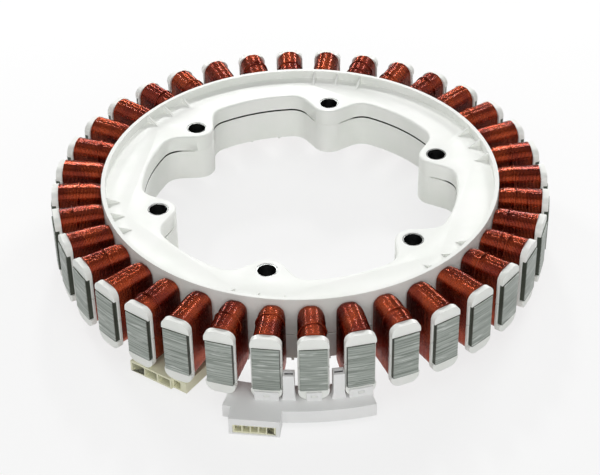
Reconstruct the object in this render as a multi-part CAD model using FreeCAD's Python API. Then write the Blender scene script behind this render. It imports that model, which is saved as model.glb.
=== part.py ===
"""Wound stator of a direct-drive washing-machine motor, in millimetres.

The origin is the centre of the bolt circle on the deck, the flat face under the screw heads.
+Z runs along the motor's axis, out of the deck. Tooth 1 lies on +X, and the sensor is at -Y.
"""

import FreeCAD, Part
import os
from math import cos, degrees, radians, sin, sqrt

# ---- Bolt circle, sleeves and bosses -------------------------------------------------------
BOLT_CIRCLE_D = 155.0       # pitch circle of the fixing screws
BOLT_COUNT = 6
FIRST_BOLT_ANGLE = 15.0     # degrees from +X, half-way between two teeth
SLEEVE_BORE_D = 9.5         # clears an M8 screw
SLEEVE_WALL = 0.75
SLEEVE_RECESS = 0.3         # the sleeve's top lies this far below the deck
BOSS_WALL = 3.7             # plastic round the sleeve
OPENING_R = 83.5            # central opening between the bosses
LOBE_SIDE_ANGLE = 45.0      # the boss's flanks, from the radial direction
LOBE_FILLET_R = 10.0        # where a flank runs into the opening
EDGE_R = 1.2                # rounded edge of the deck round the opening
WALL = 2.2                  # wall round the opening

# ---- Lamination pack -----------------------------------------------------------------------
TOOTH_COUNT = 36
STATOR_D = 264.0            # over the tooth heads
STACK_H = 25.4
YOKE_BORE_D = 186.0
NECK_W = 7.0
HEAD_W = 13.3
HEAD_DEPTH = 2.8

# ---- Insulators ----------------------------------------------------------------------------
HUB_D = 210.2               # wall that the coils stand against
SLOT_WALL = 1.0             # plastic on the floor of each slot
FIT = 0.1                   # slip clearance of plastic on steel and of a coil on its bobbin
DECK_TO_STACK = 4.6         # deck face to the top lamination
DECK_T = 2.4
LIP_H = 4.7
LIP_T = 2.2
SKIRT_T = 2.2               # ring that centres an insulator in the yoke bore
SKIRT_DEPTH = 7.0
HUB_DEPTH = 27.5            # deck to the pads on the underside
SPLIT_DEPTH = 9.1           # deck to the faces where the two insulators meet
WALL_GAP = 0.8              # open joint between the thin walls
TOOTH_GAP = 0.4             # open joint between the tooth bobbins
BOBBIN_WALL = 1.05
BOBBIN_CREST_TOP = 4.0      # bobbin crest above the pack
BOBBIN_CREST_BOTTOM = 3.2
BOBBIN_CORNER_R = 3.0
CAP_W = 15.3                # white end plate of each bobbin
CAP_RISE_TOP = 7.0
CAP_RISE_BOTTOM = 6.1
CAP_CORNER_R = 5.0
FLANGE_T = 1.4
CAP_SETBACK = 0.8           # the steel stands this far proud of the plastic
GUSSET_L = 7.5
GUSSET_H = 4.0
GUSSET_T = 1.2
GUSSET_PITCH = 7.5          # degrees between the three gussets by a screw
SEAT_T = 2.4                # ring of the lower insulator under the yoke
STOP_W = 11.0               # stops that hold the coils' lower ends
RIB_T = 1.4
RIB_H = 2.4
PEG_W = 2.6                 # hooks on three lower caps for the sensor's clips
PEG_H = 1.1

# ---- Coils ---------------------------------------------------------------------------------
COIL_BUILD = 2.2            # depth of the winding on the bobbin
COIL_END_GAP = 0.2          # coil to hub wall

# ---- Hall sensor ---------------------------------------------------------------------------
SENSOR_TOOTH_NUMBER = 28    # the tooth at its middle, tooth 1 being on +X
SENSOR_BEFORE = 8.6         # degrees that it runs past its first clip's tooth
SENSOR_AFTER = 2.4          # and past its last clip's
SENSOR_UNDER = 11.0         # how far it reaches in under the tooth heads
SENSOR_PROUD = 7.7          # and how far out past them
SENSOR_H = 7.4
SENSOR_WALL = 1.5
BOARD_T = 1.6
PART_ROOM = 1.0             # height above the board for its parts
BOARD_LEDGE = 1.0           # step inside the housing that the board lies on
POST_SHIFT = 0.3            # degrees from the middle of the slot to each sensing post
POST_W = 5.6
POST_DEPTH = 5.1
POST_SETBACK = 0.2
POST_H = 15.4
POST_FOOT_W = 7.0
POST_FOOT_H = 4.2
POCKET_W = 4.2              # pocket for the sensing element
POCKET_DEPTH = 1.8
ELEMENT_H = 3.2
ELEMENT_RECESS = 1.0
CLIP_T = 1.1
CLIP_H = 4.8
CLIP_W = 7.5
CLIP_WIDE_W = 12.0
WINDOW_FIT = 0.15           # round a peg in its clip
HEADER_CENTRE = -4.1        # sideways from the axis of the first clip's tooth
HEADER_SHELL_W = 24.8
HEADER_SHELL_H = 9.9
HEADER_REACH = 7.5          # the shell's mouth stands this far out of the housing
HEADER_SHELL_WALL = 1.9
HEADER_SETBACK = 0.6        # ivory insert behind the mouth of its shell
PIN_COUNT = 5
PIN_PITCH = 3.96
PIN_W = 0.64
CAVITY_W = 3.2
CAVITY_H = 3.6
CAVITY_DEPTH = 6.0
HEADER_WALL = 0.8
PIN_SETBACK = 1.5
LEG_W = 0.4
LEG_PITCH = 1.27

# ---- Power connector -----------------------------------------------------------------------
POWER_BEFORE = 37.2         # degrees from the sensor's middle tooth
POWER_RECESS = 0.4          # its mouth lies this far behind the tooth heads
POWER_L = 30.0
POWER_H = 6.4
POWER_WALL = 1.0
CELL_PITCH = 8.2
KEY_W = 8.3                 # block beside the cells, with the keying slot
KEY_SETBACK = 1.4
KEY_SLOT_W = 4.0
KEY_SLOT_DEPTH = 9.0
CELL_DEPTH = 15.0
BLADE_W = 4.8
BLADE_T = 0.8
BLADE_SETBACK = 2.5
TAIL_L = 4.0

# ---- Levels and radii worked out from the sizes above -----------------------------------------
STACK_TOP = -DECK_TO_STACK
STACK_BOTTOM = STACK_TOP - STACK_H
STACK_MID = (STACK_TOP + STACK_BOTTOM) / 2
SPLIT_Z = -SPLIT_DEPTH
PAD_Z = -HUB_DEPTH
UNDER_Z = STACK_BOTTOM - CAP_RISE_BOTTOM     # lowest face of caps and stops
STATOR_R = STATOR_D / 2
YOKE_BORE_R = YOKE_BORE_D / 2
HUB_R = HUB_D / 2
YOKE_R = HUB_R - SLOT_WALL - FIT
HEAD_R = STATOR_R - HEAD_DEPTH               # back of the steel head, front of the flange
FLANGE_R = HEAD_R - FLANGE_T
CAP_R = STATOR_R - CAP_SETBACK
BOLT_R = BOLT_CIRCLE_D / 2
SLEEVE_R = SLEEVE_BORE_D / 2 + SLEEVE_WALL
BOSS_R = SLEEVE_R + BOSS_WALL
BOBBIN_HALF_W = NECK_W / 2 + BOBBIN_WALL
TOOTH_STEP = 360.0 / TOOTH_COUNT
TOOTH_ANGLES = [i * TOOTH_STEP for i in range(TOOTH_COUNT)]
BOLT_ANGLES = [FIRST_BOLT_ANGLE + i * 360.0 / BOLT_COUNT for i in range(BOLT_COUNT)]
PHASES = ("u", "v", "w")
CELL_COUNT = len(PHASES)
SENSOR_TOOTH = (SENSOR_TOOTH_NUMBER - 1) * TOOTH_STEP
CLIP_TEETH = [SENSOR_TOOTH + side * TOOTH_STEP for side in (-1, 0, 1)]
HEADER_TOOTH = CLIP_TEETH[0]
SENSOR_START = CLIP_TEETH[0] - SENSOR_BEFORE
SENSOR_END = CLIP_TEETH[-1] + SENSOR_AFTER
SENSOR_INNER_R = STATOR_R - SENSOR_UNDER
SENSOR_OUTER_R = STATOR_R + SENSOR_PROUD
POST_ANGLE = TOOTH_STEP / 2 + POST_SHIFT     # from the middle tooth to each post
HEADER_FRONT_R = SENSOR_OUTER_R + HEADER_REACH
POWER_ANGLE = SENSOR_TOOTH - POWER_BEFORE
POWER_FRONT = STATOR_R - POWER_RECESS
PEG_Z = UNDER_Z + CLIP_H / 2 - PEG_H / 2
POST_R = STATOR_R - POST_SETBACK
POCKET_X = POST_R - (POST_DEPTH + POCKET_DEPTH) / 2
BOARD_Z = UNDER_Z - SENSOR_WALL - PART_ROOM - BOARD_T
HEADER_BACK_R = SENSOR_OUTER_R - SENSOR_WALL / 2
HEADER_H = CAVITY_H + 2 * HEADER_WALL
HEADER_Z = UNDER_Z - HEADER_SHELL_H + HEADER_WALL
PIN_Z = HEADER_Z + HEADER_H / 2
OVER = 1.0                                   # how far a cutting solid runs past a face

Z_AXIS = FreeCAD.Vector(0, 0, 1)
ORIGIN = FreeCAD.Vector(0, 0, 0)


def turned(shape, angle):
    """A copy of shape turned about the motor's axis."""
    copy = shape.copy()
    copy.rotate(ORIGIN, Z_AXIS, angle)
    return copy


def box(x0, x1, y0, y1, z0, z1):
    return Part.makeBox(x1 - x0, y1 - y0, z1 - z0, FreeCAD.Vector(x0, y0, z0))


def tube(outer_r, inner_r, z0, z1, x=0.0):
    """Upright tube, or a plain cylinder where inner_r is 0."""
    base = FreeCAD.Vector(x, 0, z0)
    solid = Part.makeCylinder(outer_r, z1 - z0, base)
    if inner_r > 0:
        solid = solid.cut(Part.makeCylinder(inner_r, z1 - z0, base))
    return solid


def spun(outline):
    """Ring swept round the motor's axis from a closed (radius, z) outline."""
    corners = [FreeCAD.Vector(r, 0, z) for r, z in outline]
    wire = Part.makePolygon(corners + corners[:1])
    return Part.Face(wire).revolve(ORIGIN, Z_AXIS, 360)


def sector(inner_r, outer_r, start, end, z0, z1):
    """Piece of a flat ring between two angles in degrees."""
    corners = [FreeCAD.Vector(r, 0, z) for r, z in
               ((inner_r, z0), (outer_r, z0), (outer_r, z1), (inner_r, z1))]
    face = Part.Face(Part.makePolygon(corners + corners[:1]))
    return turned(face.revolve(ORIGIN, Z_AXIS, end - start), start)


def rounded_bar(x0, x1, half_w, z0, z1, r_bottom, r_top):
    """Bar along +X whose section is a rectangle with rounded lower and upper corners."""
    corners = ((half_w, z1, r_top), (-half_w, z1, r_top), (-half_w, z0, r_bottom), (half_w, z0, r_bottom))
    arcs = []
    for quarter, (y, z, radius) in enumerate(corners):
        mid_y = y - radius if y > 0 else y + radius
        mid_z = z - radius if z == z1 else z + radius
        turns = [radians(90 * quarter + step) for step in (0, 45, 90)]
        arcs.append([FreeCAD.Vector(x0, mid_y + radius * cos(a), mid_z + radius * sin(a)) for a in turns])
    edges = []
    for arc, following in zip(arcs, arcs[1:] + arcs[:1]):
        if arc[0].distanceToPoint(arc[2]) > 0:
            edges.append(Part.Arc(*arc).toShape())
        edges.append(Part.makeLine(arc[2], following[0]))
    face = Part.Face(Part.Wire(edges))
    return face.extrude(FreeCAD.Vector(x1 - x0, 0, 0))


def turned_vector(vector, angle):
    return FreeCAD.Rotation(Z_AXIS, angle).multVec(vector)


def other_side(point):
    """The same point across the boss's middle."""
    return FreeCAD.Vector(point.x, -point.y, 0)


def opening_prism(grow, z0, z1):
    """The central opening as a solid, with the six bosses left out of it.

    grow moves the whole outline into the plastic by that much.
    """
    outer_r = OPENING_R + grow
    boss_r = BOSS_R - grow
    fillet_r = LOBE_FILLET_R + grow
    side = radians(LOBE_SIDE_ANGLE)
    normal = FreeCAD.Vector(-sin(side), cos(side), 0)
    along = FreeCAD.Vector(cos(side), sin(side), 0)
    boss = FreeCAD.Vector(BOLT_R, 0, 0)
    start = boss + normal * (boss_r + fillet_r)
    half_b = start.dot(along)
    reach = -half_b + sqrt(half_b ** 2 - start.dot(start) + (outer_r - fillet_r) ** 2)
    centre = start + along * reach                     # centre of the fillet
    nose = FreeCAD.Vector(BOLT_R - boss_r, 0, 0)
    flank_in = boss + normal * boss_r
    flank_out = centre - normal * fillet_r
    rim = centre * (outer_r / (outer_r - fillet_r))
    nose_mid = boss + turned_vector(normal, (90 - LOBE_SIDE_ANGLE) / 2) * boss_r
    outward = (flank_out - centre).normalize() + (rim - centre).normalize()
    fillet_mid = centre + outward.normalize() * fillet_r
    lobe_step = 360.0 / BOLT_COUNT
    edges = []
    for angle in BOLT_ANGLES:
        next_rim = turned_vector(other_side(rim), lobe_step)
        rim_mid = turned_vector(FreeCAD.Vector(outer_r, 0, 0), lobe_step / 2)
        pieces = [
            Part.Arc(other_side(rim), other_side(fillet_mid), other_side(flank_out)).toShape(),
            Part.makeLine(other_side(flank_out), other_side(flank_in)),
            Part.Arc(other_side(flank_in), other_side(nose_mid), nose).toShape(),
            Part.Arc(nose, nose_mid, flank_in).toShape(),
            Part.makeLine(flank_in, flank_out),
            Part.Arc(flank_out, fillet_mid, rim).toShape(),
            Part.Arc(rim, rim_mid, next_rim).toShape(),
        ]
        edges += [turned(piece, angle) for piece in pieces]
    wire = Part.Wire(Part.__sortEdges__(edges))
    prism = Part.Face(wire).extrude(FreeCAD.Vector(0, 0, z1 - z0))
    prism.translate(FreeCAD.Vector(0, 0, z0))
    return prism


# ---- Lamination pack -----------------------------------------------------------------------

def lamination_core():
    """Yoke and 36 T-shaped teeth, drawn as one outline and stacked to the pack's height."""
    half_neck = NECK_W / 2
    half_head = HEAD_W / 2
    root_x = sqrt(YOKE_R ** 2 - half_neck ** 2)
    tip_x = sqrt(STATOR_R ** 2 - half_head ** 2)
    tooth = [(root_x, -half_neck), (HEAD_R, -half_neck), (HEAD_R, -half_head), (tip_x, -half_head)]
    tooth = [FreeCAD.Vector(x, y, 0) for x, y in tooth]
    tooth += [FreeCAD.Vector(v.x, -v.y, 0) for v in reversed(tooth)]
    tip_mid = FreeCAD.Vector(STATOR_R, 0, 0)
    root_mid = turned_vector(FreeCAD.Vector(YOKE_R, 0, 0), TOOTH_STEP / 2)
    edges = []
    for angle in TOOTH_ANGLES:
        next_root = turned_vector(tooth[0], TOOTH_STEP)
        pieces = [Part.makeLine(tooth[i], tooth[i + 1]) for i in (0, 1, 2, 4, 5, 6)]
        pieces.append(Part.Arc(tooth[3], tip_mid, tooth[4]).toShape())
        pieces.append(Part.Arc(tooth[7], root_mid, next_root).toShape())
        edges += [turned(piece, angle) for piece in pieces]
    sheet = Part.Face(Part.Wire(Part.__sortEdges__(edges)))
    pack = sheet.extrude(FreeCAD.Vector(0, 0, STACK_H))
    pack.translate(FreeCAD.Vector(0, 0, STACK_BOTTOM))
    return pack.cut(tube(YOKE_BORE_R, 0, STACK_BOTTOM - OVER, STACK_TOP + OVER))


# ---- Insulators ----------------------------------------------------------------------------

def neck_room():
    """Room for one steel neck above the split, from inside the slot floor to the steel head."""
    half_w = NECK_W / 2 + FIT
    return box(YOKE_R - OVER, HEAD_R + OVER, -half_w, half_w, STACK_MID - OVER, STACK_TOP)


def half_bobbin(crest, cap_rise):
    """Upper half of one tooth's bobbin: sleeve over the neck, flange behind the head, end cap."""
    split = STACK_MID + TOOTH_GAP / 2
    sleeve = rounded_bar(YOKE_R, FLANGE_R + FLANGE_T / 2, BOBBIN_HALF_W,
                         split, STACK_TOP + crest, 0, BOBBIN_CORNER_R)
    plate = rounded_bar(FLANGE_R, CAP_R, CAP_W / 2, split, STACK_TOP + cap_rise, 0, CAP_CORNER_R)
    head_room = box(HEAD_R, CAP_R + OVER, -CAP_W, CAP_W, split - OVER, STACK_TOP)
    return sleeve.fuse(plate).cut(head_room).cut(neck_room())


def mirrored(shape):
    """The same shape on the other side of the pack's middle plane."""
    return shape.mirror(FreeCAD.Vector(0, 0, STACK_MID), Z_AXIS)


def opening_wall(z0, z1):
    """Thin wall that follows the opening's outline."""
    return opening_prism(WALL, z0, z1).cut(opening_prism(0, z0 - OVER, z1 + OVER))


def at_bolts(shape):
    return [turned(shape, angle) for angle in BOLT_ANGLES]


def at_teeth(shape):
    return [turned(shape, angle) for angle in TOOTH_ANGLES]


def upper_insulator():
    """Deck with its lip and gussets, the opening's upper wall, and 36 upper bobbin halves."""
    inner_r = BOLT_R - BOSS_R - OVER
    skirt_r = YOKE_BORE_R - FIT
    slot_r = HUB_R - SLOT_WALL
    split = STACK_MID + TOOTH_GAP / 2
    ring = spun([(inner_r, 0), (HUB_R - LIP_T, 0), (HUB_R - LIP_T, LIP_H), (HUB_R, LIP_H),
                 (HUB_R, split), (slot_r, split), (slot_r, STACK_TOP), (skirt_r, STACK_TOP),
                 (skirt_r, STACK_TOP - SKIRT_DEPTH), (skirt_r - SKIRT_T, STACK_TOP - SKIRT_DEPTH),
                 (skirt_r - SKIRT_T, -DECK_T), (inner_r, -DECK_T)])
    deck = ring.cut(opening_prism(0, -DECK_T - OVER, OVER))
    rim = [edge for edge in deck.Edges
           if edge.BoundBox.ZMin > -EDGE_R / 2 and edge.BoundBox.ZMax < EDGE_R / 2
           and edge.Vertexes[0].Point.Length < OPENING_R + EDGE_R]
    deck = deck.makeFillet(EDGE_R, rim)
    deck = deck.cut(Part.makeCompound(at_teeth(neck_room())))
    boss = tube(BOSS_R, 0, SPLIT_Z, -DECK_T, BOLT_R)
    lip_face = HUB_R - LIP_T
    gusset = Part.makePolygon([FreeCAD.Vector(x, -GUSSET_T / 2, z) for x, z in
                               ((lip_face - GUSSET_L, 0), (lip_face + LIP_T / 2, 0),
                                (lip_face + LIP_T / 2, GUSSET_H), (lip_face, GUSSET_H),
                                (lip_face - GUSSET_L, 0))])
    gusset = Part.Face(gusset).extrude(FreeCAD.Vector(0, GUSSET_T, 0))
    gussets = [turned(gusset, side * GUSSET_PITCH) for side in (-1, 0, 1)]
    additions = [opening_wall(SPLIT_Z + WALL_GAP / 2, -DECK_T)]
    additions += at_bolts(boss)
    additions += [part for one in gussets for part in at_bolts(one)]
    additions += at_teeth(half_bobbin(BOBBIN_CREST_TOP, CAP_RISE_TOP))
    bores = Part.makeCompound(at_bolts(tube(SLEEVE_R, 0, SPLIT_Z - OVER, OVER, BOLT_R)))
    return deck.multiFuse(additions).cut(bores).removeSplitter()


def lower_insulator():
    """Under half: seat for the yoke, pads and ribs, lower bobbin halves, stops and pegs."""
    inner_r = BOLT_R - BOSS_R - OVER
    skirt_r = YOKE_BORE_R - FIT
    skirt_inner_r = skirt_r - SKIRT_T
    slot_r = HUB_R - SLOT_WALL
    split = STACK_MID - TOOTH_GAP / 2
    seat_z = STACK_BOTTOM - SEAT_T
    web_z = PAD_Z + DECK_T
    ring = spun([(inner_r, web_z), (skirt_inner_r, web_z),
                 (skirt_inner_r, STACK_BOTTOM + SKIRT_DEPTH), (skirt_r, STACK_BOTTOM + SKIRT_DEPTH),
                 (skirt_r, STACK_BOTTOM), (slot_r, STACK_BOTTOM), (slot_r, split), (HUB_R, split),
                 (HUB_R, seat_z), (skirt_inner_r, seat_z), (skirt_inner_r, PAD_Z), (inner_r, PAD_Z)])
    web = ring.cut(opening_prism(0, PAD_Z - OVER, web_z + OVER))
    web = web.cut(Part.makeCompound([mirrored(room) for room in at_teeth(neck_room())]))
    boss = tube(BOSS_R, 0, web_z, SPLIT_Z, BOLT_R)
    half_stop = degrees(STOP_W / HUB_R) / 2
    stop = sector(HUB_R - LIP_T, HUB_R, -half_stop, half_stop, UNDER_Z, seat_z)
    rib = box(YOKE_BORE_R, HUB_R - LIP_T / 2, -RIB_T / 2, RIB_T / 2, seat_z - RIB_H, seat_z)
    peg = box(CAP_R, CAP_R + PEG_H, -PEG_W / 2, PEG_W / 2, PEG_Z, PEG_Z + PEG_H)
    additions = [opening_wall(web_z, SPLIT_Z - WALL_GAP / 2)]
    additions += at_bolts(boss)
    additions += at_teeth(mirrored(half_bobbin(BOBBIN_CREST_BOTTOM, CAP_RISE_BOTTOM)))
    additions += at_teeth(stop)
    additions += at_teeth(turned(rib, TOOTH_STEP / 2))
    additions += [turned(peg, angle) for angle in CLIP_TEETH]
    bores = Part.makeCompound(at_bolts(tube(SLEEVE_R, 0, PAD_Z - OVER, SPLIT_Z + OVER, BOLT_R)))
    return web.multiFuse(additions).cut(bores).removeSplitter()


def bolt_sleeve():
    """Steel sleeve that takes the screw's clamping load through the plastic."""
    return tube(SLEEVE_R, SLEEVE_BORE_D / 2, PAD_Z, -SLEEVE_RECESS, BOLT_R)


# ---- Coils ---------------------------------------------------------------------------------

def coil():
    """The outer form of one winding, hollow where the bobbin passes through."""
    def bar(grow, run_over):
        return rounded_bar(HUB_R + COIL_END_GAP - run_over, FLANGE_R + run_over,
                           BOBBIN_HALF_W + grow, STACK_BOTTOM - BOBBIN_CREST_BOTTOM - grow,
                           STACK_TOP + BOBBIN_CREST_TOP + grow,
                           BOBBIN_CORNER_R + grow, BOBBIN_CORNER_R + grow)
    return bar(FIT + COIL_BUILD, 0).cut(bar(FIT, OVER))


# ---- Hall sensor ---------------------------------------------------------------------------

def sensor_arc(inset, z0, z1):
    """The sensor housing's arc, drawn in from its outline by inset."""
    side = degrees(inset / SENSOR_OUTER_R)
    return sector(SENSOR_INNER_R + inset, SENSOR_OUTER_R - inset,
                  SENSOR_START + side, SENSOR_END - side, z0, z1)


def at_posts(shape):
    return [turned(shape, SENSOR_TOOTH + side * POST_ANGLE) for side in (-1, 1)]


def sensing_post():
    """Post that stands between two teeth, wider at its foot."""
    half_w = POST_W / 2
    half_foot = POST_FOOT_W / 2
    outline = [(-half_foot, UNDER_Z - SENSOR_WALL), (half_foot, UNDER_Z - SENSOR_WALL),
               (half_foot, UNDER_Z), (half_w, UNDER_Z + POST_FOOT_H), (half_w, UNDER_Z + POST_H),
               (-half_w, UNDER_Z + POST_H), (-half_w, UNDER_Z + POST_FOOT_H), (-half_foot, UNDER_Z)]
    corners = [FreeCAD.Vector(POST_R - POST_DEPTH, y, z) for y, z in outline]
    face = Part.Face(Part.makePolygon(corners + corners[:1]))
    return face.extrude(FreeCAD.Vector(POST_DEPTH, 0, 0))


def header_block(x0, x1, side_inset, z0, z1):
    """Box on the header's own centre line, beside the first clip's tooth."""
    half_w = HEADER_SHELL_W / 2 - side_inset
    block = box(x0, x1, HEADER_CENTRE - half_w, HEADER_CENTRE + half_w, z0, z1)
    return turned(block, HEADER_TOOTH)


def pin_offsets():
    return [HEADER_CENTRE + (i - (PIN_COUNT - 1) / 2) * PIN_PITCH for i in range(PIN_COUNT)]


def hall_sensor_housing():
    """Curved housing under the caps, with two posts, three clips and the header's shell."""
    bottom = UNDER_Z - SENSOR_H
    shell_bottom = UNDER_Z - HEADER_SHELL_H
    body = sensor_arc(0, bottom, UNDER_Z)
    body = body.fuse(header_block(SENSOR_OUTER_R - SENSOR_WALL, HEADER_FRONT_R, 0, shell_bottom, UNDER_Z))
    body = body.cut(sensor_arc(SENSOR_WALL, bottom - HEADER_SHELL_H, BOARD_Z + BOARD_T))
    body = body.cut(sensor_arc(SENSOR_WALL + BOARD_LEDGE, bottom, UNDER_Z - SENSOR_WALL))
    body = body.cut(header_block(HEADER_BACK_R, HEADER_FRONT_R + OVER, HEADER_SHELL_WALL,
                                 HEADER_Z, HEADER_Z + HEADER_H))
    body = body.multiFuse(at_posts(sensing_post()))
    pocket = box(POCKET_X, POCKET_X + POCKET_DEPTH, -POCKET_W / 2, POCKET_W / 2,
                 UNDER_Z - SENSOR_WALL - OVER, UNDER_Z + POST_H + OVER)
    slots = [box(SENSOR_OUTER_R - 2 * SENSOR_WALL, HEADER_BACK_R + OVER, y - PIN_W, y + PIN_W,
                 PIN_Z - PIN_W, PIN_Z + PIN_W) for y in pin_offsets()]
    slots = [turned(slot, HEADER_TOOTH) for slot in slots]
    body = body.cut(Part.makeCompound(at_posts(pocket) + slots))
    clips = []
    for angle in CLIP_TEETH:
        half_w = (CLIP_W if angle == SENSOR_TOOTH else CLIP_WIDE_W) / 2
        clip = box(CAP_R, CAP_R + CLIP_T, -half_w, half_w, UNDER_Z - OVER, UNDER_Z + CLIP_H)
        half_peg = PEG_W / 2 + WINDOW_FIT
        window = box(CAP_R - OVER, CAP_R + CLIP_T + OVER, -half_peg, half_peg,
                     PEG_Z - WINDOW_FIT, PEG_Z + PEG_H + WINDOW_FIT)
        clips.append(turned(clip.cut(window), angle))
    return body.multiFuse(clips).removeSplitter()


def hall_circuit_board():
    return sensor_arc(SENSOR_WALL + FIT, BOARD_Z, BOARD_Z + BOARD_T)


def hall_element():
    """Flat sensing element near the top of its post, on three legs down to the board."""
    top = UNDER_Z + POST_H - ELEMENT_RECESS
    body = box(POCKET_X + FIT, POCKET_X + POCKET_DEPTH - FIT, -POCKET_W / 2 + FIT,
               POCKET_W / 2 - FIT, top - ELEMENT_H, top)
    mid_x = POCKET_X + POCKET_DEPTH / 2
    legs = [box(mid_x - LEG_W / 2, mid_x + LEG_W / 2, y - LEG_W / 2, y + LEG_W / 2,
                BOARD_Z + BOARD_T, top - ELEMENT_H) for y in (-LEG_PITCH, 0, LEG_PITCH)]
    return body.multiFuse(legs)


def hall_connector_header():
    """Ivory insert with one cavity for each contact."""
    front = HEADER_FRONT_R - HEADER_SETBACK
    block = header_block(HEADER_BACK_R, front, HEADER_SHELL_WALL, HEADER_Z, HEADER_Z + HEADER_H)
    cuts = []
    for y in pin_offsets():
        cuts.append(box(front - CAVITY_DEPTH, front + OVER, y - CAVITY_W / 2, y + CAVITY_W / 2,
                        PIN_Z - CAVITY_H / 2, PIN_Z + CAVITY_H / 2))
        cuts.append(box(HEADER_BACK_R - OVER, front, y - PIN_W / 2, y + PIN_W / 2,
                        PIN_Z - PIN_W / 2, PIN_Z + PIN_W / 2))
    return block.cut(Part.makeCompound([turned(cut, HEADER_TOOTH) for cut in cuts]))


def hall_connector_pins():
    """Five bent pins, from the board's underside out into the cavities."""
    foot_x = SENSOR_OUTER_R - SENSOR_WALL - BOARD_LEDGE - PIN_W
    tip_x = HEADER_FRONT_R - HEADER_SETBACK - PIN_SETBACK
    pins = []
    for y in pin_offsets():
        lying = box(foot_x, tip_x, y - PIN_W / 2, y + PIN_W / 2, PIN_Z - PIN_W / 2, PIN_Z + PIN_W / 2)
        foot = box(foot_x, foot_x + PIN_W, y - PIN_W / 2, y + PIN_W / 2, PIN_Z, BOARD_Z)
        pins.append(turned(lying.fuse(foot).removeSplitter(), HEADER_TOOTH))
    return Part.makeCompound(pins)


# ---- Power connector -----------------------------------------------------------------------

def cell_offsets():
    return [(i - 1) * CELL_PITCH for i in range(CELL_COUNT)]


def power_connector_housing():
    """Ivory block under the coils: one open cell a phase, and a keyed block beside them."""
    bottom = UNDER_Z - POWER_H
    side = CELL_COUNT * CELL_PITCH / 2 + POWER_WALL / 2
    back = POWER_FRONT - POWER_L
    block = box(back, POWER_FRONT, -side, side, bottom, UNDER_Z)
    block = block.fuse(box(back, POWER_FRONT - KEY_SETBACK, 0, side + KEY_W, bottom, UNDER_Z))
    half_cell = (CELL_PITCH - POWER_WALL) / 2
    cuts = [box(POWER_FRONT - CELL_DEPTH, POWER_FRONT + OVER, y - half_cell, y + half_cell,
                bottom + POWER_WALL, UNDER_Z - POWER_WALL) for y in cell_offsets()]
    cuts += [blade_bar(y, back - OVER, POWER_FRONT) for y in cell_offsets()]
    key_y = side + POWER_WALL / 2
    cuts.append(box(POWER_FRONT - KEY_SETBACK - KEY_SLOT_DEPTH, POWER_FRONT + OVER, key_y,
                    key_y + KEY_SLOT_W, bottom + POWER_WALL, UNDER_Z - POWER_WALL))
    return turned(block.cut(Part.makeCompound(cuts)).removeSplitter(), POWER_ANGLE)


def blade_bar(y, x0, x1):
    """Flat bar with a contact blade's section."""
    mid_z = UNDER_Z - POWER_H / 2
    return box(x0, x1, y - BLADE_W / 2, y + BLADE_W / 2, mid_z - BLADE_T / 2, mid_z + BLADE_T / 2)


def power_blade(y):
    """Contact blade, from its solder tail under the hub to just inside its cell's mouth."""
    blade = blade_bar(y, POWER_FRONT - POWER_L - TAIL_L, POWER_FRONT - BLADE_SETBACK)
    return turned(blade, POWER_ANGLE)


# ---- Every piece, each to its own file -----------------------------------------------------

def all_pieces():
    pieces = {
        "lamination_core": lamination_core(),
        "upper_insulator": upper_insulator(),
        "lower_insulator": lower_insulator(),
        "hall_sensor_housing": hall_sensor_housing(),
        "hall_circuit_board": hall_circuit_board(),
        "hall_connector_header": hall_connector_header(),
        "hall_connector_pins": hall_connector_pins(),
        "power_connector_housing": power_connector_housing(),
    }
    for side, element in zip(("left", "right"), at_posts(hall_element())):
        pieces[f"hall_element_{side}"] = element
    for number, sleeve in enumerate(at_bolts(bolt_sleeve()), 1):
        pieces[f"bolt_sleeve_{number}"] = sleeve
    for index, winding in enumerate(at_teeth(coil())):
        phase = PHASES[index % len(PHASES)]
        pieces[f"coil_{phase}_{index // len(PHASES) + 1:02d}"] = winding
    for phase, y in zip(PHASES, cell_offsets()):
        pieces[f"power_blade_{phase}"] = power_blade(y)
    return pieces


os.makedirs("parts", exist_ok=True)
for name, piece in all_pieces().items():
    piece.exportStep(f"parts/{name}.step")
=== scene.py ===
"""Looks of the wound stator of a direct-drive washing-machine motor.

Thirty-six enamelled coils stand on a pack of steel sheets between two white
insulators, with a Hall sensor unit and a three-blade power socket at the front.
"""

import logging
import math
import random
from dataclasses import dataclass
from enum import Enum
from typing import Any

import bmesh
import bpy
from mathutils import Matrix, Vector

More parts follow.
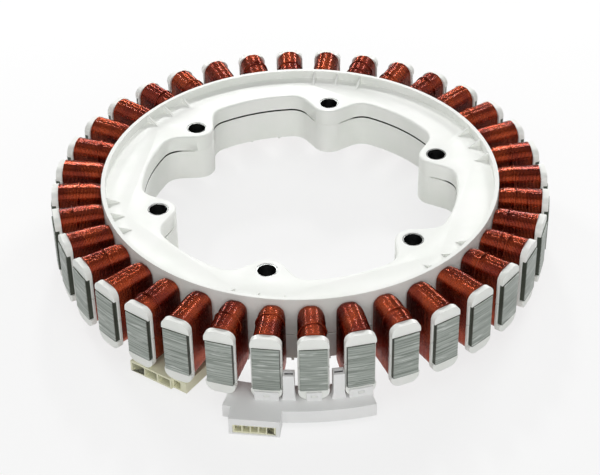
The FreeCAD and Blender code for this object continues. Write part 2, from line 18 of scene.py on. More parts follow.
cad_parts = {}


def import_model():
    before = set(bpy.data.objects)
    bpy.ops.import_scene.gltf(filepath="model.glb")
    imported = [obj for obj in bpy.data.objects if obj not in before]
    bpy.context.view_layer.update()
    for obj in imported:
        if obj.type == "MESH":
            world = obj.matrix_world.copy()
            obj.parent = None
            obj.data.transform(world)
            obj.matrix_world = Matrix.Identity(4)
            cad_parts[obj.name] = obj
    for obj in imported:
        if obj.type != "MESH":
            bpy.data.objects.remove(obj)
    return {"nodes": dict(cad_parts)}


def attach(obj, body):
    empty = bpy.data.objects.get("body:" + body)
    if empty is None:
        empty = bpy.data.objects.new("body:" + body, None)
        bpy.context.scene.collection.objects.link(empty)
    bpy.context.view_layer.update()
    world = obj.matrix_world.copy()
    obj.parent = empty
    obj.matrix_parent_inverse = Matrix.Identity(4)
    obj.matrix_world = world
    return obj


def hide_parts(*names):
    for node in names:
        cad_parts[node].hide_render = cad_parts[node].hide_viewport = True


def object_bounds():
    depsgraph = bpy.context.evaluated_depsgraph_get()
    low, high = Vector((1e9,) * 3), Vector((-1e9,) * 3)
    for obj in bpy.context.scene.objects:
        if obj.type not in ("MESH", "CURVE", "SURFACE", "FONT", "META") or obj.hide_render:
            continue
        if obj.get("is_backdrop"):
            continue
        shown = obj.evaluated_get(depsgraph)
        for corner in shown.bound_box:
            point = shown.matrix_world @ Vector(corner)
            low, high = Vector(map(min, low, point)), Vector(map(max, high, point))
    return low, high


MM = 0.001
BODY = "root"
MERGE = 2e-6                    # corners nearer than this are one corner, in metres

Colour = tuple[float, float, float, float]
Axes = tuple[float, float, float]

log = logging.getLogger("stator")


class Phase(Enum):
    """The three windings, in the order in which the teeth carry them."""

    U = "u"
    V = "v"
    W = "w"


def shade(red: int, green: int, blue: int) -> Colour:
    """Turns a colour as a screen shows it into the linear colour of a material.

    Args:
        red: Red from 0 to 255.
        green: Green from 0 to 255.
        blue: Blue from 0 to 255.

    Returns:
        The linear colour, opaque.
    """
    parts = [part / 255 for part in (red, green, blue)]
    linear = [p / 12.92 if p <= 0.04045 else ((p + 0.055) / 1.055) ** 2.4 for p in parts]
    return (linear[0], linear[1], linear[2], 1.0)


class Signal:
    """A shader socket that Python's operators work on; each adds its Math node."""

    def __init__(self, graph: "Graph", socket: bpy.types.NodeSocket) -> None:
        """Wraps a socket of a graph."""
        self.graph = graph
        self.socket = socket

    def maths(self, operation: str, *operands: Any) -> "Signal":
        """Adds one Math node.

        Args:
            operation: The node's operation.
            *operands: Signals or numbers, in the order of the node's sockets.

        Returns:
            The node's result.
        """
        node = self.graph.node("ShaderNodeMath", {"operation": operation},
                               dict(enumerate(operands)))
        return Signal(self.graph, node.outputs[0])

    def __add__(self, other: Any) -> "Signal":
        """Sum with a signal or number."""
        return self.maths("ADD", self, other)

    def __radd__(self, other: Any) -> "Signal":
        """Sum with a number on the left."""
        return self.maths("ADD", other, self)

    def __sub__(self, other: Any) -> "Signal":
        """Difference from a signal or number."""
        return self.maths("SUBTRACT", self, other)

    def __rsub__(self, other: Any) -> "Signal":
        """Difference of a number and this."""
        return self.maths("SUBTRACT", other, self)

    def __mul__(self, other: Any) -> "Signal":
        """Product with a signal or number."""
        return self.maths("MULTIPLY", self, other)

    def __rmul__(self, other: Any) -> "Signal":
        """Product with a number on the left."""
        return self.maths("MULTIPLY", other, self)

    def fraction(self) -> "Signal":
        """What is left after the decimal point."""
        return self.maths("FRACT", self)

    def larger(self, other: "Signal") -> "Signal":
        """The larger of two signals."""
        return self.maths("MAXIMUM", self, other)

    def away_from(self, value: float) -> "Signal":
        """Distance from a value."""
        return self.maths("ABSOLUTE", self - value)

    def step(self, low: float, high: float) -> "Signal":
        """Runs smoothly from 0 at low to 1 at high.

        Args:
            low: Where the result leaves 0.
            high: Where it reaches 1.

        Returns:
            The smooth step.
        """
        node = self.graph.node(
            "ShaderNodeMapRange", {"interpolation_type": "SMOOTHSTEP"},
            {"Value": self, "From Min": low, "From Max": high, "To Min": 0.0, "To Max": 1.0})
        return Signal(self.graph, node.outputs[0])


class Graph:
    """The node tree of one material, with short calls for its usual nodes."""

    def __init__(self, name: str) -> None:
        """Starts an empty material.

        Args:
            name: The material's name.
        """
        self.material = bpy.data.materials.new(name)
        self.material.use_nodes = True
        self.tree = self.material.node_tree
        self.tree.nodes.clear()

    def node(self, kind: str, settings: dict[str, Any], values: dict[Any, Any]) -> bpy.types.Node:
        """Adds a node, sets its settings, then its values and links.

        Args:
            kind: The node's type.
            settings: Properties of the node, which come first.
            values: Values or signals by socket name or number.

        Returns:
            The new node.
        """
        node = self.tree.nodes.new(kind)
        for key, setting in settings.items():
            setattr(node, key, setting)
        for key, value in values.items():
            if isinstance(value, Signal):
                self.tree.links.new(value.socket, node.inputs[key])
            else:
                node.inputs[key].default_value = value
        return node

    def place(self) -> Signal:
        """The point's place on the object, in metres."""
        return Signal(self, self.node("ShaderNodeTexCoord", {}, {}).outputs["Object"])

    def axis(self, name: str) -> Signal:
        """One coordinate of the point.

        Args:
            name: "X", "Y" or "Z".

        Returns:
            That coordinate in metres.
        """
        node = self.node("ShaderNodeSeparateXYZ", {}, {0: self.place()})
        return Signal(self, node.outputs[name])

    def radius(self) -> Signal:
        """Distance from the stator's axis in metres."""
        flat = self.node("ShaderNodeVectorMath", {"operation": "MULTIPLY"},
                         {0: self.place(), 1: (1.0, 1.0, 0.0)})
        node = self.node("ShaderNodeVectorMath", {"operation": "LENGTH"},
                         {0: Signal(self, flat.outputs[0])})
        return Signal(self, node.outputs["Value"])

    def noise(self, scale: float, detail: float = 2.0,
              stretch: Axes = (1.0, 1.0, 1.0)) -> Signal:
        """Smooth noise over the object, about 0.5.

        Args:
            scale: Spots per metre.
            detail: Octaves of finer spots.
            stretch: How much denser it is along each axis.

        Returns:
            The noise.
        """
        turned = self.node("ShaderNodeMapping", {}, {"Vector": self.place(), "Scale": stretch})
        node = self.node("ShaderNodeTexNoise", {},
                         {"Vector": Signal(self, turned.outputs[0]), "Scale": scale,
                          "Detail": detail})
        return Signal(self, node.outputs[0])

    def blend(self, factor: Any, first: Any, second: Any) -> Signal:
        """Mixes two colours.

        Args:
            factor: 0 gives the first, 1 the second.
            first: A colour or signal.
            second: A colour or signal.

        Returns:
            The mixed colour.
        """
        node = self.node("ShaderNodeMix", {"data_type": "RGBA"}, {0: factor, 6: first, 7: second})
        return Signal(self, node.outputs[2])

    def finish(self, values: dict[str, Any], height: Signal | None = None,
               depth: float = 0.0) -> bpy.types.Material:
        """Adds the shader and the output.

        Args:
            values: Values and signals of the Principled shader by socket name.
            height: Relief of the surface from 0 to 1.
            depth: What a relief of 1 stands for, in metres.

        Returns:
            The finished material.
        """
        if height is not None:
            bump = self.node("ShaderNodeBump", {},
                             {"Height": height, "Strength": 1.0, "Distance": depth})
            values = {**values, "Normal": Signal(self, bump.outputs[0])}
        shader = self.node("ShaderNodeBsdfPrincipled", {}, values)
        self.node("ShaderNodeOutputMaterial", {}, {"Surface": Signal(self, shader.outputs[0])})
        return self.material


@dataclass(frozen=True)
class MouldedPlastic:
    """Satin moulded plastic with faint clouding and a fine spark-eroded grain.

    Densities are in spots per metre and depths in metres, here and in the other finishes.
    """

    name: str
    colour: Colour
    clouding: Colour
    roughness: float = 0.42
    unevenness: float = 0.16        # how far the roughness wanders
    patches: float = 90.0
    clouds: float = 38.0
    cloud_edges: tuple[float, float] = (0.3, 0.75)
    grain: float = 1400.0
    grain_depth: float = 2e-5

    def tint(self, graph: Graph) -> Signal:
        """Lays out the colour.

        Args:
            graph: The material's graph.

        Returns:
            The colour over the surface.
        """
        clouds = graph.noise(self.clouds, detail=3.0)
        return graph.blend(clouds.step(*self.cloud_edges), self.colour, self.clouding)

    def material(self) -> bpy.types.Material:
        """Builds the material."""
        graph = Graph(self.name)
        rough = self.roughness + (graph.noise(self.patches) - 0.5) * self.unevenness
        return graph.finish({"Base Color": self.tint(graph), "Roughness": rough},
                            graph.noise(self.grain), self.grain_depth)


@dataclass(frozen=True)
class WhiteMoulding(MouldedPlastic):
    """The insulators' plastic, with painted shade inside the open joint round the opening."""

    joint_z: float = -9.1 * MM
    joint_half: float = 0.6 * MM
    joint_blur: float = 0.7             # share of the joint where the painted shade is full
    joint_from_r: float = 77.5 * MM     # the joint closes at the bosses
    joint_fade: float = 4.0 * MM
    joint_to_r: float = 87.0 * MM
    joint_end: float = 1.0 * MM
    # painted shade that stands for the dark inside the open joint
    joint_shade_colour: Colour = (0.02, 0.024, 0.012, 1.0)

    def tint(self, graph: Graph) -> Signal:
        """Lays out the plastic's colour and the painted shade in the joint.

        Args:
            graph: The material's graph.

        Returns:
            The colour over the surface.
        """
        radius = graph.radius()
        ring = radius.step(self.joint_from_r, self.joint_from_r + self.joint_fade) \
            * (1 - radius.step(self.joint_to_r, self.joint_to_r + self.joint_end))
        level = graph.axis("Z").away_from(self.joint_z)
        # painted shade: the white plastic is darkened along the open joint between the insulators,
        # where light hardly reaches
        joint = ring * (1 - level.step(self.joint_half * self.joint_blur, self.joint_half))
        return graph.blend(joint, super().tint(graph), self.joint_shade_colour)


@dataclass(frozen=True)
class SheetPack:
    """Edges of punched electrical steel: thin stacked sheets, dull and uneven in tone, with
    painted glints on some sheets and painted shade on the tooth heads' flanks.
    """

    name: str
    colour: Colour
    dull: Colour
    glint: Colour
    shadow: Colour                  # the flanks of the tooth heads
    face_r: float = 132.0 * MM      # the tooth heads' outer face
    face_edges: tuple[float, float] = (0.5 * MM, 0.2 * MM)
    sheet: float = 0.5 * MM
    layers: Axes = (30.0, 30.0, 2000.0)
    layer_edges: tuple[float, float] = (0.3, 0.7)
    glint_streaks: Axes = (90.0, 90.0, 900.0)
    glint_edges: tuple[float, float] = (0.58, 0.7)
    glint_strength: float = 0.6
    seam_edges: tuple[float, float] = (0.3, 0.5)    # from a sheet's middle, of its thickness
    seam_strength: float = 0.55
    seam_share: float = 0.6         # depth of the seams next to that of the layers
    seam_depth: float = 5e-5
    roughness: float = 0.52
    polish: float = 0.2             # how much smoother some sheets are
    metal: float = 0.4

    def material(self) -> bpy.types.Material:
        """Builds the material."""
        graph = Graph(self.name)
        along = (graph.axis("Z") * (1 / self.sheet)).fraction()
        seam = along.away_from(0.5).step(*self.seam_edges)
        layers = graph.noise(1.0, detail=1.0, stretch=self.layers)
        glint_streaks = graph.noise(1.0, stretch=self.glint_streaks)
        outer, inner = self.face_edges
        face = graph.radius().step(self.face_r - outer, self.face_r - inner)
        dull = graph.blend(layers.step(*self.layer_edges), self.dull, self.colour)
        # painted highlight: random streaks of sheets are lightened towards the glint colour, as if
        # they caught the light
        glint_mask = glint_streaks.step(*self.glint_edges) * self.glint_strength
        glinted = graph.blend(glint_mask, dull, self.glint)
        sheets = graph.blend(seam * self.seam_strength, glinted, self.dull)
        colour = graph.blend(face, self.shadow, sheets)
        rough = self.roughness - layers * self.polish
        return graph.finish({"Base Color": colour, "Roughness": rough, "Metallic": self.metal},
                            layers - seam * self.seam_share, self.seam_depth)


@dataclass(frozen=True)
class EnamelledCopper:
    """Copper wire under clear enamel, from orange to red along the winding."""

    name: str
    orange: Colour
    red: Colour
    drift: float = 70.0
    drift_edges: tuple[float, float] = (0.35, 0.65)
    wires: float = 900.0
    roughness: float = 0.26
    unevenness: float = 0.08
    enamel: float = 0.4
    enamel_roughness: float = 0.12

    def material(self) -> bpy.types.Material:
        """Builds the material."""
        graph = Graph(self.name)
        drift = graph.noise(self.drift, detail=3.0).step(*self.drift_edges)
        colour = graph.blend(drift, self.orange, self.red)
        rough = self.roughness + (graph.noise(self.wires, detail=1.0) - 0.5) * self.unevenness
        return graph.finish({"Base Color": colour, "Roughness": rough, "Metallic": 1.0,
                             "Coat Weight": self.enamel,
                             "Coat Roughness": self.enamel_roughness})


@dataclass(frozen=True)
class PlainMetal:
    """Turned, drawn or plated metal with faint scratches."""

    name: str
    colour: Colour
    tarnish: Colour
    roughness: float = 0.3
    unevenness: float = 0.2
    stains: float = 260.0
    stain_edges: tuple[float, float] = (0.45, 0.8)
    scratches: Axes = (900.0, 900.0, 4200.0)
    scratch_depth: float = 8e-6

    def material(self) -> bpy.types.Material:
        """Builds the material."""
        graph = Graph(self.name)
        stain = graph.noise(self.stains, detail=3.0)
        colour = graph.blend(stain.step(*self.stain_edges), self.colour, self.tarnish)
        rough = self.roughness + (stain - 0.5) * self.unevenness
        return graph.finish({"Base Color": colour, "Roughness": rough, "Metallic": 1.0},
                            graph.noise(1.0, stretch=self.scratches), self.scratch_depth)


@dataclass(frozen=True)
class GlassBoard:
    """Green circuit board: woven glass under solder mask."""

    name: str
    mask: Colour
    track: Colour
    lanes: float = 500.0            # tracks per metre
    lane_edges: tuple[float, float] = (0.3, 0.36)
    breaks: float = 160.0
    break_edges: tuple[float, float] = (0.48, 0.52)
    weave: float = 1500.0
    weave_depth: float = 2e-5
    roughness: float = 0.35
    varnish: float = 0.4

    def material(self) -> bpy.types.Material:
        """Builds the material."""
        graph = Graph(self.name)
        lanes = (graph.radius() * self.lanes).fraction().away_from(0.5).step(*self.lane_edges)
        tracks = lanes * graph.noise(self.breaks).step(*self.break_edges)
        colour = graph.blend(tracks, self.mask, self.track)
        return graph.finish({"Base Color": colour, "Roughness": self.roughness,
                             "Coat Weight": self.varnish},
                            graph.noise(self.weave) + tracks, self.weave_depth)


WHITE = WhiteMoulding("white_moulding", shade(249, 250, 246), shade(243, 246, 240))
SENSOR = MouldedPlastic("sensor_moulding", shade(248, 248, 247), shade(242, 243, 242), 0.38)
IVORY = MouldedPlastic("ivory_moulding", shade(240, 239, 210), shade(230, 228, 196), 0.4)
EPOXY = MouldedPlastic("black_epoxy", shade(26, 26, 28), shade(34, 33, 34), 0.5)
# the third colour is a painted glint, the fourth painted shade for the flanks of the tooth heads
SHEETS = SheetPack("sheet_steel", shade(184, 190, 184), shade(128, 136, 128),
                   shade(226, 230, 226), shade(70, 76, 66))
COPPER = EnamelledCopper("enamelled_copper", shade(160, 62, 22), shade(122, 36, 16))
SLEEVE = PlainMetal("sleeve_steel", shade(120, 122, 120), shade(64, 64, 62), 0.34)
TINNED = PlainMetal("tinned_contact", shade(206, 206, 200), shade(166, 166, 158), 0.25)
BOARD = GlassBoard("circuit_board", shade(34, 82, 44), shade(72, 122, 66))


def paint(thing: bpy.types.Object, material: bpy.types.Material) -> None:
    """Gives an object one material in every slot.

    Args:
        thing: The object.
        material: The material.
    """
    if not thing.material_slots:
        thing.data.materials.append(material)
    for slot in thing.material_slots:
        slot.material = material


def add_object(name: str, mesh: bpy.types.Mesh) -> bpy.types.Object:
    """Puts a mesh into the scene as an object at the origin.

    Args:
        name: The object's name.
        mesh: Its mesh, in place.

    Returns:
        The object.
    """
    thing = bpy.data.objects.new(name, mesh)
    bpy.context.scene.collection.objects.link(thing)
    return thing


def mesh_from(bm: bmesh.types.BMesh, name: str, crease: float = 30.0) -> bpy.types.Mesh:
    """Turns a bmesh into a smooth mesh with sharp creases and frees it.

    Args:
        bm: The bmesh.
        name: The mesh's name.
        crease: Angle in degrees above which an edge stays sharp.

    Returns:
        The mesh.
    """
    mesh = bpy.data.meshes.new(name)
    bm.to_mesh(mesh)
    bm.free()
    if "custom_normal" in mesh.attributes:
        mesh.attributes.remove(mesh.attributes["custom_normal"])
    mesh.shade_smooth()
    mesh.set_sharp_from_angle(angle=math.radians(crease))
    return mesh


@dataclass
class Dressing:
    """Merged, edge-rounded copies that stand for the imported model's rigid nodes."""

    nodes: dict[str, bpy.types.Object]
    crease: float = 32.0            # degrees above which an edge is rounded
    flatness: float = 0.3           # degrees below which faces become one
    edge_steps: int = 2

    def moulding(self, node: str, name: str, slot: str, material: bpy.types.Material,
                 edge: float) -> bpy.types.Object:
        """Makes the piece that stands for a node.

        Args:
            node: The node's name.
            name: The new piece's name.
            slot: Not used.
            material: The piece's material.
            edge: Radius of its rounded edges in millimetres.

        Returns:
            The piece.
        """
        bm = bmesh.new()
        bm.from_mesh(self.nodes[node].data)
        bmesh.ops.remove_doubles(bm, verts=bm.verts[:], dist=MERGE)
        bmesh.ops.dissolve_limit(bm, angle_limit=math.radians(self.flatness),
                                 verts=bm.verts[:], edges=bm.edges[:])
        bmesh.ops.recalc_face_normals(bm, faces=bm.faces[:])
        mesh = mesh_from(bm, name, self.crease)
        mesh.materials.clear()
        piece = add_object(name, mesh)
        paint(piece, material)
        self.round_edges(piece, edge)
        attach(piece, BODY)
        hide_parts(node)
        log.info("%s stands for %s", name, node)
        return piece

    def round_edges(self, piece: bpy.types.Object, edge: float) -> None:
        """Rounds a piece's sharp edges.

        Args:
            piece: The piece.
            edge: Radius in millimetres.
        """
        bevel = piece.modifiers.new("rounded_edges", "BEVEL")
        bevel.limit_method = "ANGLE"
        bevel.angle_limit = math.radians(self.crease)
        bevel.width = edge * MM
        bevel.segments = self.edge_steps
        bevel.profile = 0.5
        bevel.use_clamp_overlap = False
        bevel.harden_normals = True

    def keep(self, node: str, material: bpy.types.Material) -> None:
        """Gives a node that stays as it is its finish.

        Args:
            node: The node's name.
            material: Its material.
        """
        paint(self.nodes[node], material)
        log.info("%s keeps its shape", node)


@dataclass
class Insulators:
    """The two white insulators and the steel sleeves in their bosses."""

    dressing: Dressing
    sleeve_count: int = 6
    edge: float = 0.2
    cap_start_r: float = 127.5      # the end plates of the bobbins stand outside this
    pack_top: float = -4.6
    cap_share: float = 0.88         # the end plates' height over the pack, as moulded

    def build(self) -> None:
        """Dresses the insulators and sleeves."""
        white = WHITE.material()
        steel = SLEEVE.material()
        for side in ("upper", "lower"):
            piece = self.dressing.moulding(f"{side}_insulator", f"{side}_moulding",
                                           "white_plastic", white, self.edge)
            self.trim_caps(piece)
        for number in range(1, self.sleeve_count + 1):
            self.dressing.keep(f"bolt_sleeve_{number}", steel)

    def trim_caps(self, piece: bpy.types.Object) -> None:
        """Lowers the tops of the end plates to just above the coils.

        Args:
            piece: The insulator.
        """
        for corner in piece.data.vertices:
            place = corner.co / MM
            if place.z > self.pack_top and place.xy.length > self.cap_start_r:
                corner.co.z = (self.pack_top + (place.z - self.pack_top) * self.cap_share) * MM


@dataclass
class LaminationPack:
    """The toothed pack of steel sheets."""

    dressing: Dressing

    def build(self) -> None:
        """Gives the pack its sheet-edge finish."""
        self.dressing.keep("lamination_core", SHEETS.material())


@dataclass
class Winding:
    """Thirty-six coils of round enamelled wire; sizes in millimetres."""

    per_phase: int = 12
    seed: int = 411
    start_x: float = 105.3          # against the hub wall
    end_x: float = 127.8            # behind the steel head's flange
    corner_y: float = 1.55          # centres of the bobbin's rounded corners
    corner_top: float = -3.6
    corner_low: float = -30.2
    inner_r: float = 3.1
    outer_r: float = 5.3
    turns: int = 30
    wire_steps: int = 4
    corner_steps: int = 6
    relief: float = 0.65            # height of a turn over the varnish, of its radius
    wander: float = 0.15            # how unevenly the turns lie
    shoulder_l: float = 6.0         # the top layer starts this far from the hub
    shoulder_drop: float = 1.1
    crown: float = 1.2              # rise of the arched top over a flat one
    weld: float = 0.004             # corners nearer than this are one corner
    stray_counts: tuple[int, ...] = (0, 1, 1, 2)
    stray_margin: float = 6.0       # from either end of the coil
    stray_drift: tuple[float, float] = (0.25, 0.6)
    stray_rise: float = 0.18        # a stray turn lies this far out of the top layer
    stray_start: float = 4.0        # down the flank from the corner
    stray_dive: float = 0.7
    stray_sides: int = 8
    crease: float = 60.0

    @property
    def pitch(self) -> float:
        """Distance between neighbouring turns."""
        return (self.end_x - self.start_x) / self.turns

    @property
    def count(self) -> int:
        """How many coils the stator has."""
        return self.per_phase * len(Phase)

    def build(self) -> None:
        """Makes every coil and dresses it."""
        copper = COPPER.material()
        phases = list(Phase)
        for index in range(self.count):
            phase = phases[index % len(phases)].value
            number = index // len(phases) + 1
            name = f"{phase}_{number:02d}"
            piece = self.coil(f"winding_{name}", index)
            paint(piece, copper)
            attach(piece, BODY)
            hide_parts(f"coil_{name}")
        log.info("%d coils wound", self.count)

    def coil(self, name: str, index: int) -> bpy.types.Object:
        """Winds one coil round its bobbin.

        Args:
            name: The piece's name.
            index: The tooth's number from +X, which also seeds its unevenness.

        Returns:
            The coil.
        """
        chance = random.Random(self.seed + index)
        bm = bmesh.new()
        self.sweep(bm, self.section(bm, chance))
        bmesh.ops.remove_doubles(bm, verts=bm.verts[:], dist=self.weld)
        for _ in range(chance.choice(self.stray_counts)):
            self.stray_turn(bm, chance)
        self.arch(bm)
        bmesh.ops.recalc_face_normals(bm, faces=bm.faces[:])
        angle = 2 * math.pi * index / self.count
        place = Matrix.Rotation(angle, 4, "Z") @ Matrix.Scale(MM, 4)
        bmesh.ops.transform(bm, matrix=place, verts=bm.verts[:])
        return add_object(name, mesh_from(bm, name, self.crease))

    def arch(self, bm: bmesh.types.BMesh) -> None:
        """Lifts the middle of the coil's top, which real wire never lays flat.

        Args:
            bm: The coil's bmesh, standing on the +X tooth.
        """
        bed = self.corner_top + self.inner_r
        half_width = self.corner_y + self.outer_r
        for corner in bm.verts:
            if corner.co.z > bed:
                share = (corner.co.z - bed) / (self.outer_r - self.inner_r)
                corner.co.z += self.crown * share * (1 - (corner.co.y / half_width) ** 2)

    def section(self, bm: bmesh.types.BMesh, chance: random.Random) -> list[Any]:
        """Draws the winding's section: a row of round wires over a straight inner face.

        Args:
            bm: The coil's bmesh, empty so far.
            chance: The coil's own random numbers.

        Returns:
            The section's corners and edges.
        """
        valley = self.corner_y + self.outer_r - self.relief * self.pitch / 2
        for turn in range(self.turns):
            bm.verts.ensure_lookup_table()
            first = len(bm.verts)
            start = bm.verts.new((self.start_x + turn * self.pitch, valley, self.corner_top))
            middle = start.co + Vector((self.pitch / 2, 0, 0))
            bmesh.ops.spin(bm, geom=[start], cent=middle, axis=(0, 0, -1), angle=math.pi,
                           steps=self.wire_steps)
            bm.verts.ensure_lookup_table()
            swell = self.relief + chance.uniform(-self.wander, self.wander)
            bmesh.ops.scale(bm, vec=(1, swell, 1), space=Matrix.Translation(-middle),
                            verts=bm.verts[first:])
        bmesh.ops.remove_doubles(bm, verts=bm.verts[:], dist=self.weld)
        for corner in bm.verts:
            short = max(0.0, 1 - (corner.co.x - self.start_x) / self.shoulder_l)
            corner.co.y -= self.shoulder_drop * short ** 2
        ends = sorted(bm.verts, key=lambda corner: corner.co.x)
        low = bm.verts.new((self.start_x, self.corner_y + self.inner_r, self.corner_top))
        high = bm.verts.new((self.end_x, self.corner_y + self.inner_r, self.corner_top))
        for pair in ((ends[0], low), (low, high), (high, ends[-1])):
            bm.edges.new(pair)
        return bm.verts[:] + bm.edges[:]

    def sweep(self, bm: bmesh.types.BMesh, ring: list[Any]) -> None:
        """Carries the section round the bobbin, corner by corner, back to its start.

        Args:
            bm: The coil's bmesh.
            ring: The section's corners and edges.
        """
        height = self.corner_top - self.corner_low
        width = 2 * self.corner_y
        legs = (((self.corner_y, self.corner_top), (0, -width, 0)),
                ((-self.corner_y, self.corner_top), (0, 0, -height)),
                ((-self.corner_y, self.corner_low), (0, width, 0)),
                ((self.corner_y, self.corner_low), (0, 0, height)))
        for (y, z), way in legs:
            turned = bmesh.ops.spin(bm, geom=ring, cent=(0, y, z), axis=(1, 0, 0),
                                    angle=math.pi / 2, steps=self.corner_steps)
            ring = self.push(bm, turned["geom_last"], Vector(way))

    def push(self, bm: bmesh.types.BMesh, ring: list[Any], way: Vector) -> list[Any]:
        """Extrudes a ring straight on.

        Args:
            bm: The coil's bmesh.
            ring: Corners and edges of the open end.
            way: How far and which way.

        Returns:
            The new end's corners and edges.
        """
        edges = [part for part in ring if isinstance(part, bmesh.types.BMEdge)]
        made = bmesh.ops.extrude_edge_only(bm, edges=edges)["geom"]
        corners = {part for part in made if isinstance(part, bmesh.types.BMVert)}
        bmesh.ops.translate(bm, verts=list(corners), vec=way)
        rim = [part for part in made if isinstance(part, bmesh.types.BMEdge)
               and set(part.verts) <= corners]
        return list(corners) + rim

    def stray_turn(self, bm: bmesh.types.BMesh, chance: random.Random) -> None:
        """Lays one turn askew across the top of the others, its ends buried in them.

        Args:
            bm: The coil's bmesh.
            chance: The coil's own random numbers.
        """
        reach = self.corner_y + self.outer_r + self.stray_rise
        drift = chance.choice((-1, 1)) * chance.uniform(*self.stray_drift)
        x = chance.uniform(self.start_x + self.stray_margin, self.end_x - self.stray_margin)
        foot = Vector((x, reach - self.stray_dive, self.corner_top - self.stray_start))
        known = set(bm.edges)
        bmesh.ops.create_circle(bm, segments=self.stray_sides, radius=self.pitch / 2,
                                cap_ends=True, matrix=Matrix.Translation(foot))
        rim = [edge for edge in bm.edges if edge not in known]
        ring = rim + list({corner for edge in rim for corner in edge.verts})
        across = drift / self.corner_steps
        ring = self.push(bm, ring, Vector((drift, self.stray_dive, self.stray_start)))
        for side in (1, -1):
            turned = bmesh.ops.spin(bm, geom=ring, cent=(0, side * self.corner_y, self.corner_top),
                                    axis=(1, 0, 0), dvec=(across, 0, 0), angle=math.pi / 2,
                                    steps=self.corner_steps)
            way = (drift, -2 * self.corner_y, 0) if side > 0 else \
                (drift, self.stray_dive, -self.stray_start)
            ring = self.push(bm, turned["geom_last"], Vector(way))
        bmesh.ops.edgeloop_fill(bm, edges=[part for part in ring
                                           if isinstance(part, bmesh.types.BMEdge)])


@dataclass
class SensorUnit:
    """The Hall sensor housing with its board, elements and five-pin socket."""

    dressing: Dressing
    edge: float = 0.2

    def build(self) -> None:
        """Dresses the sensor unit."""
        self.dressing.moulding("hall_sensor_housing", "sensor_moulding", "sensor_plastic",
                               SENSOR.material(), self.edge)
        ivory = IVORY.material()
        self.dressing.moulding("hall_connector_header", "header_moulding", "ivory_plastic",
                               ivory, self.edge / 2)
        self.dressing.moulding("power_connector_housing", "power_moulding", "ivory_plastic",
                               ivory, self.edge)
        epoxy = EPOXY.material()
        tinned = TINNED.material()
        for side in ("left", "right"):
            self.dressing.keep(f"hall_element_{side}", epoxy)
        self.dressing.keep("hall_circuit_board", BOARD.material())
        self.dressing.keep("hall_connector_pins", tinned)
        for phase in Phase:
            self.dressing.keep(f"power_blade_{phase.value}", tinned)


@dataclass(frozen=True)
class Softbox:
    """One flat lamp that looks at the stator; sizes in metres, power in watts."""

    name: str
    place: Axes
    width: float
    length: float
    power: float


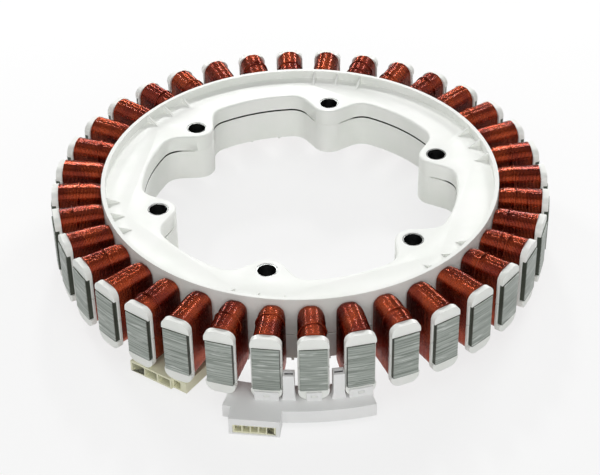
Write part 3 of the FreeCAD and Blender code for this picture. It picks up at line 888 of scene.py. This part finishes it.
@dataclass
class Studio:
    """Pale floor, soft lamps and the camera."""

    lamps: tuple[Softbox, ...] = (
        Softbox("left_lamp", (-0.66, 1.0, 0.52), 0.2, 0.16, 5.8),
        Softbox("middle_lamp", (0.0, 1.04, 0.78), 0.14, 0.16, 4.0),
        Softbox("right_lamp", (0.66, 1.0, 0.52), 0.3, 0.16, 6.8),
        Softbox("front_softbox", (0.0, -1.1, 0.6), 1.6, 0.9, 7.0),
        Softbox("top_softbox", (0.0, -0.2, 1.5), 1.6, 1.0, 2.6),
    )
    world: float = 0.22
    floor_glow: float = 0.75        # share of the floor that shows as plain white
    floor_gap: float = 0.0001       # keeps the floor off the lowest faces
    floor_size: float = 6.0
    floor_clouds: float = 3.0       # spots per metre
    floor_colour: Colour = shade(250, 250, 250)
    floor_shade: Colour = shade(247, 247, 247)
    film_width: float = 36.0
    lens: float = 102.3
    elevation: float = 37.36        # degrees above the horizon
    roll: float = 1.07
    turn: float = -2.13             # about the stator's axis
    distance: float = 0.8664
    aim: Axes = (-0.0005, -0.0495, 0.0)

    def build(self, lowest: float) -> None:
        """Sets up the studio.

        Args:
            lowest: Height of the stator's lowest point.
        """
        self.floor(lowest)
        for lamp in self.lamps:
            self.lamp(lamp)
        self.sky()
        self.camera()
        bpy.context.scene.view_settings.view_transform = "Standard"

    def floor(self, lowest: float) -> None:
        """Lays the floor.

        Args:
            lowest: Its height.
        """
        bm = bmesh.new()
        bmesh.ops.create_grid(bm, x_segments=1, y_segments=1, size=self.floor_size,
                              matrix=Matrix.Translation((0, 0, lowest - self.floor_gap)))
        floor = add_object("floor", mesh_from(bm, "floor"))
        paint(floor, self.floor_finish())
        floor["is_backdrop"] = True

    def floor_finish(self) -> bpy.types.Material:
        """Pale matt floor that looks white and still takes a soft shadow."""
        graph = Graph("pale_floor")
        tint = graph.blend(graph.noise(self.floor_clouds), self.floor_colour, self.floor_shade)
        rays = graph.node("ShaderNodeLightPath", {}, {})
        camera, glossy, through = (Signal(graph, rays.outputs[name]) for name in
                                   ("Is Camera Ray", "Is Glossy Ray", "Is Transmission Ray"))
        seen = camera.larger(glossy).larger(through)
        matt = graph.node("ShaderNodeBsdfDiffuse", {}, {"Color": tint})
        glow = graph.node("ShaderNodeEmission", {}, {"Color": (1.0, 1.0, 1.0, 1.0)})
        mixed = graph.node("ShaderNodeMixShader", {},
                           {0: seen * self.floor_glow, 1: Signal(graph, matt.outputs[0]),
                            2: Signal(graph, glow.outputs[0])})
        graph.node("ShaderNodeOutputMaterial", {}, {"Surface": Signal(graph, mixed.outputs[0])})
        return graph.material

    def lamp(self, lamp: Softbox) -> None:
        """Hangs one lamp.

        Args:
            lamp: The lamp.
        """
        light = bpy.data.lights.new(lamp.name, "AREA")
        light.shape = "RECTANGLE"
        light.size = lamp.width
        light.size_y = lamp.length
        light.energy = lamp.power
        thing = bpy.data.objects.new(lamp.name, light)
        bpy.context.scene.collection.objects.link(thing)
        thing.location = lamp.place
        thing.rotation_euler = (-Vector(lamp.place)).to_track_quat("-Z", "Y").to_euler()

    def sky(self) -> None:
        """Fills the room with even light."""
        world = bpy.data.worlds.new("room")
        world.use_nodes = True
        background = world.node_tree.nodes["Background"]
        background.inputs["Color"].default_value = (1.0, 1.0, 1.0, 1.0)
        background.inputs["Strength"].default_value = self.world
        bpy.context.scene.world = world

    def camera(self) -> None:
        """Places the camera in front of the sensor, above the deck."""
        look = Matrix.Rotation(math.radians(90 - self.elevation), 4, "X")
        pose = look @ Matrix.Rotation(math.radians(-self.roll), 4, "Z")
        pose.translation = Vector(self.aim) + look.col[2].xyz * self.distance
        camera = bpy.data.cameras.new("camera")
        camera.lens = self.lens
        camera.sensor_width = self.film_width
        thing = bpy.data.objects.new("camera", camera)
        bpy.context.scene.collection.objects.link(thing)
        thing.matrix_world = Matrix.Rotation(math.radians(self.turn), 4, "Z") @ pose
        bpy.context.scene.camera = thing


def corners(box: Any) -> list[list[float]]:
    """A box's two corners as plain numbers."""
    return [list(corner) for corner in box]


def main() -> None:
    """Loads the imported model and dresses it."""
    logging.basicConfig(level=logging.INFO, format="%(message)s")
    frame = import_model()
    packed = corners(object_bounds())
    dressing = Dressing(frame["nodes"])
    Studio().build(packed[0][2])
    LaminationPack(dressing).build()
    Insulators(dressing).build()
    Winding().build()
    SensorUnit(dressing).build()


if __name__ == "__main__":
    main()
